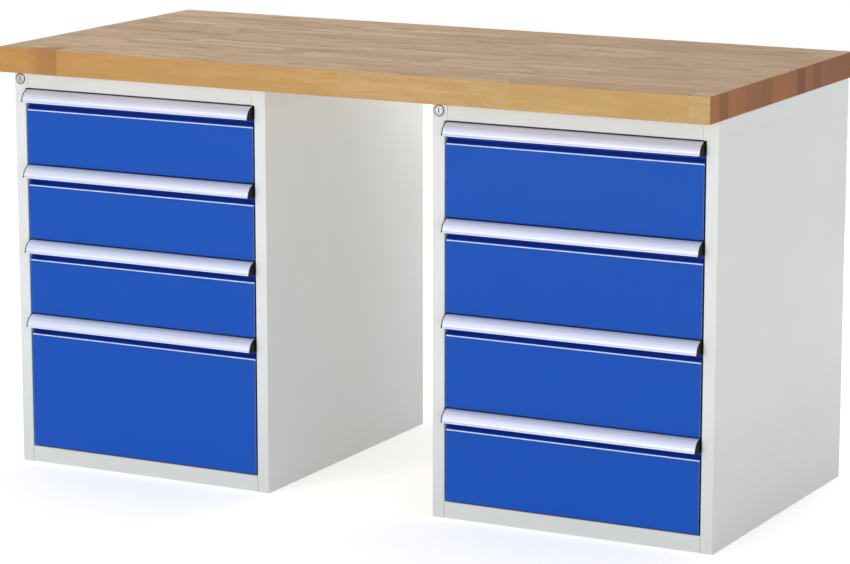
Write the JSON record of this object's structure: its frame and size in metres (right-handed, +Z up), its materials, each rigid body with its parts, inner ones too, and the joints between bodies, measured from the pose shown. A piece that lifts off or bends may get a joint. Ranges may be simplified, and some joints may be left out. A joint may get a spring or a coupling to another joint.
{
  "type": "workbench with drawers",
  "caption": "Workbench: a thick laminated wood top on sheet-steel drawer cabinets at each end, full-width metal handles, telescopic slides and central locks, with a knee space between.",
  "frame": {"origin": "on the floor, under the middle of the worktop", "axes": "+X to the right along the worktop's length, +Y to the back, +Z up; the drawers open towards -Y"},
  "size_m": [1.5, 0.7, 0.84],
  "materials": {
    "worktop": "oiled laminated beech",
    "carcass_grey": "light grey powder coat",
    "front_blue": "blue powder coat",
    "tray_grey": "light grey powder coat",
    "handle_aluminium": "satin anodised",
    "handle_cap": "moulded black",
    "zinc_steel": "zinc plated",
    "lock_chrome": "polished"
  },
  "bodies": {
    "bench": {"worktop": "worktop", "left_left_side": "carcass_grey", "left_right_side": "carcass_grey", "left_back": "carcass_grey", "left_top_rail": "carcass_grey", "left_base": "carcass_grey", "left_top_panel": "carcass_grey", "left_lock_housing": "lock_chrome", "right_left_side": "carcass_grey", "right_right_side": "carcass_grey", "right_back": "carcass_grey", "right_top_rail": "carcass_grey", "right_base": "carcass_grey", "right_top_panel": "carcass_grey", "right_lock_housing": "lock_chrome"},
    "left_drawer_1": {"left_drawer_1_front": "front_blue", "left_drawer_1_handle": "handle_aluminium", "left_drawer_1_tray": "tray_grey"},
    "left_drawer_1_slides": {"left_drawer_1_slide_left": "zinc_steel", "left_drawer_1_slide_right": "zinc_steel"},
    "left_drawer_2": {"left_drawer_2_front": "front_blue", "left_drawer_2_handle": "handle_aluminium", "left_drawer_2_tray": "tray_grey"},
    "left_drawer_2_slides": {"left_drawer_2_slide_left": "zinc_steel", "left_drawer_2_slide_right": "zinc_steel"},
    "left_drawer_3": {"left_drawer_3_front": "front_blue", "left_drawer_3_handle": "handle_aluminium", "left_drawer_3_tray": "tray_grey"},
    "left_drawer_3_slides": {"left_drawer_3_slide_left": "zinc_steel", "left_drawer_3_slide_right": "zinc_steel"},
    "left_drawer_4": {"left_drawer_4_front": "front_blue", "left_drawer_4_handle": "handle_aluminium", "left_drawer_4_tray": "tray_grey"},
    "left_drawer_4_slides": {"left_drawer_4_slide_left": "zinc_steel", "left_drawer_4_slide_right": "zinc_steel"},
    "left_lock_plug": {"left_lock_plug": "lock_chrome"},
    "left_lock_bar": {"left_lock_bar": "zinc_steel"},
    "right_drawer_1": {"right_drawer_1_front": "front_blue", "right_drawer_1_handle": "handle_aluminium", "right_drawer_1_tray": "tray_grey"},
    "right_drawer_1_slides": {"right_drawer_1_slide_left": "zinc_steel", "right_drawer_1_slide_right": "zinc_steel"},
    "right_drawer_2": {"right_drawer_2_front": "front_blue", "right_drawer_2_handle": "handle_aluminium", "right_drawer_2_tray": "tray_grey"},
    "right_drawer_2_slides": {"right_drawer_2_slide_left": "zinc_steel", "right_drawer_2_slide_right": "zinc_steel"},
    "right_drawer_3": {"right_drawer_3_front": "front_blue", "right_drawer_3_handle": "handle_aluminium", "right_drawer_3_tray": "tray_grey"},
    "right_drawer_3_slides": {"right_drawer_3_slide_left": "zinc_steel", "right_drawer_3_slide_right": "zinc_steel"},
    "right_drawer_4": {"right_drawer_4_front": "front_blue", "right_drawer_4_handle": "handle_aluminium", "right_drawer_4_tray": "tray_grey"},
    "right_drawer_4_slides": {"right_drawer_4_slide_left": "zinc_steel", "right_drawer_4_slide_right": "zinc_steel"},
    "right_lock_plug": {"right_lock_plug": "lock_chrome"},
    "right_lock_bar": {"right_lock_bar": "zinc_steel"}
  },
  "joints": [
    {"name": "left_drawer_1_pull", "type": "slide", "parent": "bench", "child": "left_drawer_1", "axis": [0, -1, 0], "range_m": [0, 0.55]},
    {"name": "left_drawer_1_slides_run", "type": "slide", "parent": "bench", "child": "left_drawer_1_slides", "axis": [0, -1, 0], "range_m": [0, 0.2755]},
    {"name": "left_drawer_2_pull", "type": "slide", "parent": "bench", "child": "left_drawer_2", "axis": [0, -1, 0], "range_m": [0, 0.55]},
    {"name": "left_drawer_2_slides_run", "type": "slide", "parent": "bench", "child": "left_drawer_2_slides", "axis": [0, -1, 0], "range_m": [0, 0.2755]},
    {"name": "left_drawer_3_pull", "type": "slide", "parent": "bench", "child": "left_drawer_3", "axis": [0, -1, 0], "range_m": [0, 0.55]},
    {"name": "left_drawer_3_slides_run", "type": "slide", "parent": "bench", "child": "left_drawer_3_slides", "axis": [0, -1, 0], "range_m": [0, 0.2755]},
    {"name": "left_drawer_4_pull", "type": "slide", "parent": "bench", "child": "left_drawer_4", "axis": [0, -1, 0], "range_m": [0, 0.55]},
    {"name": "left_drawer_4_slides_run", "type": "slide", "parent": "bench", "child": "left_drawer_4_slides", "axis": [0, -1, 0], "range_m": [0, 0.2755]},
    {"name": "left_lock_turn", "type": "hinge", "parent": "bench", "child": "left_lock_plug", "pos_m": [-0.7345, -0.3, 0.7715], "axis": [0, -1, 0], "range_deg": [0, 90]},
    {"name": "left_lock_bar_lift", "type": "slide", "parent": "bench", "child": "left_lock_bar", "axis": [0, 0, 1], "range_m": [0, 0.012]},
    {"name": "right_drawer_1_pull", "type": "slide", "parent": "bench", "child": "right_drawer_1", "axis": [0, -1, 0], "range_m": [0, 0.55]},
    {"name": "right_drawer_1_slides_run", "type": "slide", "parent": "bench", "child": "right_drawer_1_slides", "axis": [0, -1, 0], "range_m": [0, 0.2755]},
    {"name": "right_drawer_2_pull", "type": "slide", "parent": "bench", "child": "right_drawer_2", "axis": [0, -1, 0], "range_m": [0, 0.55]},
    {"name": "right_drawer_2_slides_run", "type": "slide", "parent": "bench", "child": "right_drawer_2_slides", "axis": [0, -1, 0], "range_m": [0, 0.2755]},
    {"name": "right_drawer_3_pull", "type": "slide", "parent": "bench", "child": "right_drawer_3", "axis": [0, -1, 0], "range_m": [0, 0.55]},
    {"name": "right_drawer_3_slides_run", "type": "slide", "parent": "bench", "child": "right_drawer_3_slides", "axis": [0, -1, 0], "range_m": [0, 0.2755]},
    {"name": "right_drawer_4_pull", "type": "slide", "parent": "bench", "child": "right_drawer_4", "axis": [0, -1, 0], "range_m": [0, 0.55]},
    {"name": "right_drawer_4_slides_run", "type": "slide", "parent": "bench", "child": "right_drawer_4_slides", "axis": [0, -1, 0], "range_m": [0, 0.2755]},
    {"name": "right_lock_turn", "type": "hinge", "parent": "bench", "child": "right_lock_plug", "pos_m": [0.1915, -0.3, 0.7715], "axis": [0, -1, 0], "range_deg": [0, 90]},
    {"name": "right_lock_bar_lift", "type": "slide", "parent": "bench", "child": "right_lock_bar", "axis": [0, 0, 1], "range_m": [0, 0.012]}
  ],
  "couplings": [
    {"joint": "left_drawer_1_slides_run", "follows": "left_drawer_1_pull", "ratio": 0.5},
    {"joint": "left_drawer_2_slides_run", "follows": "left_drawer_2_pull", "ratio": 0.5},
    {"joint": "left_drawer_3_slides_run", "follows": "left_drawer_3_pull", "ratio": 0.5},
    {"joint": "left_drawer_4_slides_run", "follows": "left_drawer_4_pull", "ratio": 0.5},
    {"joint": "left_lock_turn", "follows": "left_lock_bar_lift", "rad_per_m": 130.8},
    {"joint": "right_drawer_1_slides_run", "follows": "right_drawer_1_pull", "ratio": 0.5},
    {"joint": "right_drawer_2_slides_run", "follows": "right_drawer_2_pull", "ratio": 0.5},
    {"joint": "right_drawer_3_slides_run", "follows": "right_drawer_3_pull", "ratio": 0.5},
    {"joint": "right_drawer_4_slides_run", "follows": "right_drawer_4_pull", "ratio": 0.5},
    {"joint": "right_lock_turn", "follows": "right_lock_bar_lift", "rad_per_m": 130.8}
  ]
}
